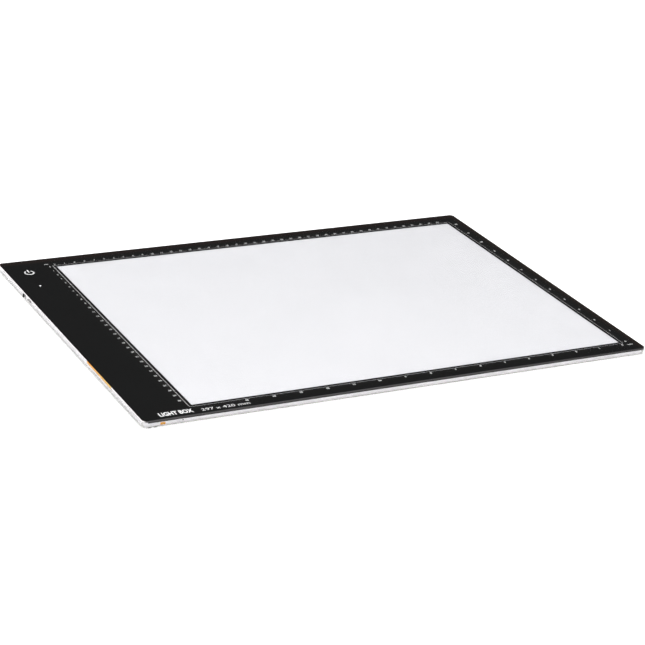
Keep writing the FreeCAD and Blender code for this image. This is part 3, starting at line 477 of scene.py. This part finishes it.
MATERIALS = {
    "clear_panel": clear_panel,
    "black_print": black_print,
    "black_foam": lambda: surface(
        "black_foam", (0.02, 0.018, 0.018), 0.75, grain=5000.0, depth=0.06 * MM
    ),
    "clear_rim": clear_rim,
    "white_tape": white_tape,
    "white_cover": lambda: surface(
        "white_cover", (0.86, 0.86, 0.87), 0.5, mottle=0.02, grain=2500.0, depth=0.03 * MM
    ),
    "foot_rubber": lambda: surface("foot_rubber", (0.6, 0.6, 0.6), 0.65, grain=3500.0),
    "screw_steel": lambda: surface(
        "screw_steel", (0.6, 0.6, 0.61), 0.28, metallic=1.0, stretch=(1.0, 8.0, 1.0)
    ),
    "label_paper": label_paper,
    "white_frame": white_frame,
    "white_film": lambda: surface("white_film", (0.93, 0.93, 0.94), 0.2, mottle=0.01),
    "guide_acrylic": lambda: clear("guide_acrylic", (0.95, 0.97, 0.98), 0.03),
    "prism_film": prism_film,
    "diffuser_white": diffuser_white,
    "board_aluminium": lambda: surface(
        "board_aluminium", (0.8, 0.8, 0.8), 0.35, metallic=0.9, stretch=(0.1, 1.0, 1.0)
    ),
    "grey_adhesive": lambda: surface("grey_adhesive", (0.3, 0.3, 0.31), 0.8),
    "lamp_phosphor": lamp_phosphor,
    "cell_foil": cell_foil,
    "amber_tape": amber_tape,
    "nickel": lambda: surface("nickel", (0.66, 0.62, 0.55), 0.25, metallic=1.0, stretch=(6.0, 1.0, 1.0)),
    "board_green": board_green,
    "chip_black": lambda: surface("chip_black", (0.02, 0.02, 0.02), 0.5, grain=6000.0),
    "wire_red": lambda: surface("wire_red", (0.5, 0.015, 0.015), 0.4),
    "wire_black": lambda: surface("wire_black", (0.015, 0.015, 0.015), 0.4),
    "wire_white": lambda: surface("wire_white", (0.75, 0.75, 0.73), 0.4),
    "ferrite_grey": lambda: surface("ferrite_grey", (0.08, 0.08, 0.085), 0.6, grain=5000.0),
    "capacitor_tan": lambda: surface("capacitor_tan", (0.35, 0.22, 0.11), 0.5),
    "natural_nylon": natural_nylon,
    "light_pipe_white": light_pipe_white,
    "white_print": lambda: surface("white_print", (0.8, 0.8, 0.8), 0.5, mottle=0.04),
    "lever_black": lambda: surface("lever_black", (0.018, 0.018, 0.018), 0.38, grain=4500.0),
    "copper": lambda: surface("copper", (0.7, 0.34, 0.2), 0.3, metallic=1.0),
}
PRINT_SLOT = "white_print"


def dress_cad_nodes():
    """Gives each carried-over node its finished material."""
    slots = {part["node"]: part["material_slot"] for part in frame["record"]["subparts"]}
    for node, piece in frame["nodes"].items():
        for index in range(len(piece.material_slots)):
            piece.material_slots[index].material = MADE[slots[node]]


# ---- printed marks ----

def add_box(mesh, x0, x1, y0, y1, z0):
    """Adds one thin printed rectangle."""
    centre = Vector(((x0 + x1) / 2, (y0 + y1) / 2, z0 + PRINT_THICKNESS / 2))
    size = (abs(x1 - x0), abs(y1 - y0), PRINT_THICKNESS)
    bmesh.ops.create_cube(mesh, size=1.0, matrix=Matrix.Translation(centre) @ Matrix.Diagonal(size + (1.0,)))


def printed(name, mesh, material):
    """Turns a bmesh into a piece that rides with the body."""
    data = bpy.data.meshes.new(name)
    mesh.to_mesh(data)
    mesh.free()
    piece = bpy.data.objects.new(name, data)
    bpy.context.scene.collection.objects.link(piece)
    data.materials.append(material)
    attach(piece, BODY)
    return piece


def letters(words, height, weight):
    """Mesh of plain letters, as thick as the print."""
    curve = bpy.data.curves.new("letters", "FONT")
    curve.body = words
    curve.align_x = "CENTER"
    curve.resolution_u = 3
    curve.offset = weight
    curve.size = height / 0.7
    curve.extrude = PRINT_THICKNESS / 2
    holder = bpy.data.objects.new("letters", curve)
    mesh = bpy.data.meshes.new_from_object(holder)
    bpy.data.objects.remove(holder)
    bpy.data.curves.remove(curve)
    return mesh


def write(mesh, words, x, y, z0, height, weight=0.0, width=None):
    """Adds words centred on x and y to a bmesh, squeezed to a width when one is given."""
    data = letters(words, height, weight)
    xs = [vertex.co.x for vertex in data.vertices]
    ys = [vertex.co.y for vertex in data.vertices]
    centre = Vector(((min(xs) + max(xs)) / 2, (min(ys) + max(ys)) / 2, 0.0))
    squeeze = 1.0 if width is None else width / (max(xs) - min(xs))
    move = Matrix.Translation((x, y, z0 + PRINT_THICKNESS / 2)) @ Matrix.Diagonal((squeeze, 1.0, 1.0, 1.0))
    data.transform(move @ Matrix.Translation(-centre))
    mesh.from_mesh(data)
    bpy.data.meshes.remove(data)


def tick_length(step, lengths):
    for multiple, length in lengths.items():
        if step % multiple == 0:
            return length


def rulers(window, z0):
    """Baselines and ticks: centimetres along the back and left, inches along the front and right."""
    (x0, y0), (x1, y1) = window
    mesh = bmesh.new()
    half = BASELINE_WIDTH / 2
    left, right = x0 - BASELINE_OFFSET, x1 + BASELINE_OFFSET
    front, back = y0 - BASELINE_OFFSET, y1 + BASELINE_OFFSET
    for y in (front, back):
        add_box(mesh, left - half, right + half, y - half, y + half, z0)
    add_box(mesh, right - half, right + half, front + half, back - half, z0)
    left_half = LEFT_BASELINE_WIDTH / 2
    add_box(mesh, left - left_half, left + left_half, front + half, back - half, z0)
    thin = TICK_WIDTH / 2
    for step in range(int((x1 - x0) / MM) + 1):
        x = x0 + step * MM
        add_box(mesh, x - thin, x + thin, back + half, back + tick_length(step, CM_TICKS), z0)
    for step in range(int((y1 - y0) / MM) + 1):
        y = y1 - step * MM
        add_box(mesh, left - tick_length(step, CM_TICKS), left - half, y - thin, y + thin, z0)
    sixteenth = INCH / 16
    for step in range(int((x1 - x0) / sixteenth) + 1):
        x = x1 - step * sixteenth
        add_box(mesh, x - thin, x + thin, front - tick_length(step, INCH_TICKS), front - half, z0)
    for step in range(int((y1 - y0) / sixteenth) + 1):
        y = y0 + step * sixteenth
        add_box(mesh, right + half, right + tick_length(step, INCH_TICKS), y - thin, y + thin, z0)
    return mesh


def numerals(window, z0):
    """Ruler numbers; all read from the front."""
    (x0, y0), (x1, y1) = window
    mesh = bmesh.new()
    for count in range(int((x1 - x0) / CENTIMETRE) + 1):
        x = x0 + count * CENTIMETRE
        write(mesh, str(count), x, y1 + BACK_LABEL_OFFSET, z0, DIGIT_HEIGHT, DIGIT_WEIGHT)
    for count in range(int((y1 - y0) / CENTIMETRE) + 1):
        y = y1 - count * CENTIMETRE + LEFT_LABEL_SHIFT
        write(mesh, str(count), x0 - LEFT_LABEL_OFFSET, y, z0, DIGIT_HEIGHT, DIGIT_WEIGHT)
    for count in range(FRONT_LABELS):
        x = x1 - count * INCH
        write(mesh, str(count), x, y0 - FRONT_LABEL_OFFSET, z0, DIGIT_HEIGHT, INCH_DIGIT_WEIGHT)
    for count in range(int((y1 - y0) / INCH) + 1):
        y = y0 + count * INCH
        write(mesh, str(count), x1 + RIGHT_LABEL_OFFSET, y, z0, DIGIT_HEIGHT, INCH_DIGIT_WEIGHT)
    x, y = x0 + CM_WORD_PLACE[0], y1 + CM_WORD_PLACE[1]
    write(mesh, "CM", x, y, z0, CM_WORD_HEIGHT, DIGIT_WEIGHT, CM_WORD_WIDTH)
    x, y = x1 + INCH_WORD_PLACE[0], y0 + INCH_WORD_PLACE[1]
    write(mesh, "INCH", x, y, z0, INCH_WORD_HEIGHT, DIGIT_WEIGHT)
    return mesh


def power_symbol(z0):
    """Broken ring with a stroke in its gap."""
    mesh = bmesh.new()
    x, y = POWER_SYMBOL
    gap = math.radians(34)
    steps = 48
    inner = POWER_RING_RADIUS - POWER_LINE_WIDTH / 2
    outer = POWER_RING_RADIUS + POWER_LINE_WIDTH / 2
    z1 = z0 + PRINT_THICKNESS
    rings = []
    for index in range(steps + 1):
        angle = math.pi / 2 + gap + (2 * math.pi - 2 * gap) * index / steps
        ring = []
        for radius, z in ((inner, z0), (outer, z0), (outer, z1), (inner, z1)):
            ring.append(mesh.verts.new((x + radius * math.cos(angle), y + radius * math.sin(angle), z)))
        rings.append(ring)
    for ring, following in zip(rings, rings[1:]):
        for corner in range(4):
            after = (corner + 1) % 4
            mesh.faces.new((ring[corner], ring[after], following[after], following[corner]))
    mesh.faces.new(reversed(rings[0]))
    mesh.faces.new(rings[-1])
    half = POWER_LINE_WIDTH / 2
    add_box(mesh, x - half, x + half, y + 0.6 * MM, y + 6.4 * MM, z0)
    bmesh.ops.recalc_face_normals(mesh, faces=mesh.faces)
    return mesh


def border_words(z0):
    """Plain words in the front border, in place of the maker's."""
    mesh = bmesh.new()
    write(mesh, "LIGHT BOX", -216.3 * MM, -165.5 * MM, z0, 6.0 * MM, weight=0.3 * MM, width=30.2 * MM)
    write(mesh, "297 x 420 mm", -172.0 * MM, -167.0 * MM, z0, 4.2 * MM, width=44.0 * MM)
    return mesh


def window_corners():
    """Low and high corner of the lit opening: the marks on the mask's inner edge."""
    low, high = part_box("print_mask")
    mask = frame["nodes"]["print_mask"].data
    places = [vertex.co for vertex in mask.vertices]
    inside_x = [p.x for p in places if low[0] + 0.01 < p.x < high[0] - 0.01 and abs(p.y) < 0.16]
    inside_y = [p.y for p in places if low[1] + 0.01 < p.y < high[1] - 0.01 and p.x > -0.2]
    return (min(x for x in inside_x if x > -0.2), min(inside_y)), (max(inside_x), max(inside_y))


def add_print():
    z0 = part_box("print_mask")[1][2]
    window = window_corners()
    material = MADE[PRINT_SLOT]
    printed("ruler_lines", rulers(window, z0), material)
    printed("ruler_numerals", numerals(window, z0), material)
    printed("power_symbol", power_symbol(z0), material)
    printed("border_words", border_words(z0), material)


# ---- stage ----

def floor_white():
    """White table that glows a little, as a lit product table does."""
    material = surface("floor_white", (0.9, 0.9, 0.9), 0.9, mottle=0.004, cloud=1.0, grain=200.0)
    lift(material, (1.0, 1.0, 1.0), FLOOR_GLOW)
    return material


def add_floor():
    mesh = bmesh.new()
    bmesh.ops.create_grid(mesh, x_segments=8, y_segments=8, size=FLOOR_SIZE)
    data = bpy.data.meshes.new("floor")
    mesh.to_mesh(data)
    mesh.free()
    floor = bpy.data.objects.new("floor", data)
    bpy.context.scene.collection.objects.link(floor)
    data.materials.append(floor_white())


def add_softbox(name, place_at, size, power):
    """Rectangular lamp that faces the middle of the floor."""
    lamp = bpy.data.lights.new(name, "AREA")
    lamp.shape = "RECTANGLE"
    lamp.size, lamp.size_y = size
    lamp.energy = power
    holder = bpy.data.objects.new(name, lamp)
    bpy.context.scene.collection.objects.link(holder)
    holder.location = place_at
    holder.rotation_euler = (Vector((0.0, 0.0, 0.0)) - Vector(place_at)).to_track_quat("-Z", "Y").to_euler()


def add_lights():
    for name, (place_at, size, power) in SOFTBOXES.items():
        add_softbox(name, place_at, size, power)
    world = bpy.data.worlds.new("studio")
    world.use_nodes = True
    background = world.node_tree.nodes["Background"]
    background.inputs["Color"].default_value = (1.0, 1.0, 1.0, 1.0)
    background.inputs["Strength"].default_value = WORLD_STRENGTH
    bpy.context.scene.world = world


def add_camera():
    forward = Vector(
        (
            math.sin(LOOK_AZIMUTH) * math.cos(LOOK_DOWN),
            math.cos(LOOK_AZIMUTH) * math.cos(LOOK_DOWN),
            -math.sin(LOOK_DOWN),
        )
    )
    level_right = Vector((math.cos(LOOK_AZIMUTH), -math.sin(LOOK_AZIMUTH), 0.0))
    level_up = level_right.cross(forward)
    right = math.cos(ROLL) * level_right + math.sin(ROLL) * level_up
    up = right.cross(forward)
    lens = bpy.data.cameras.new("camera")
    lens.lens = LENS_MM
    lens.sensor_width = SENSOR_MM
    camera = bpy.data.objects.new("camera", lens)
    bpy.context.scene.collection.objects.link(camera)
    aim = Vector((AIM_X, AIM_Y, CAD_BOX[1][2]))
    axes = Matrix((right, up, -forward)).transposed().to_4x4()
    camera.matrix_world = Matrix.Translation(aim - forward * DISTANCE) @ axes
    bpy.context.scene.camera = camera


MADE = {slot: build() for slot, build in MATERIALS.items()}
dress_cad_nodes()
add_print()
add_floor()
add_lights()
add_camera()
bpy.context.scene.view_settings.view_transform = "Standard"
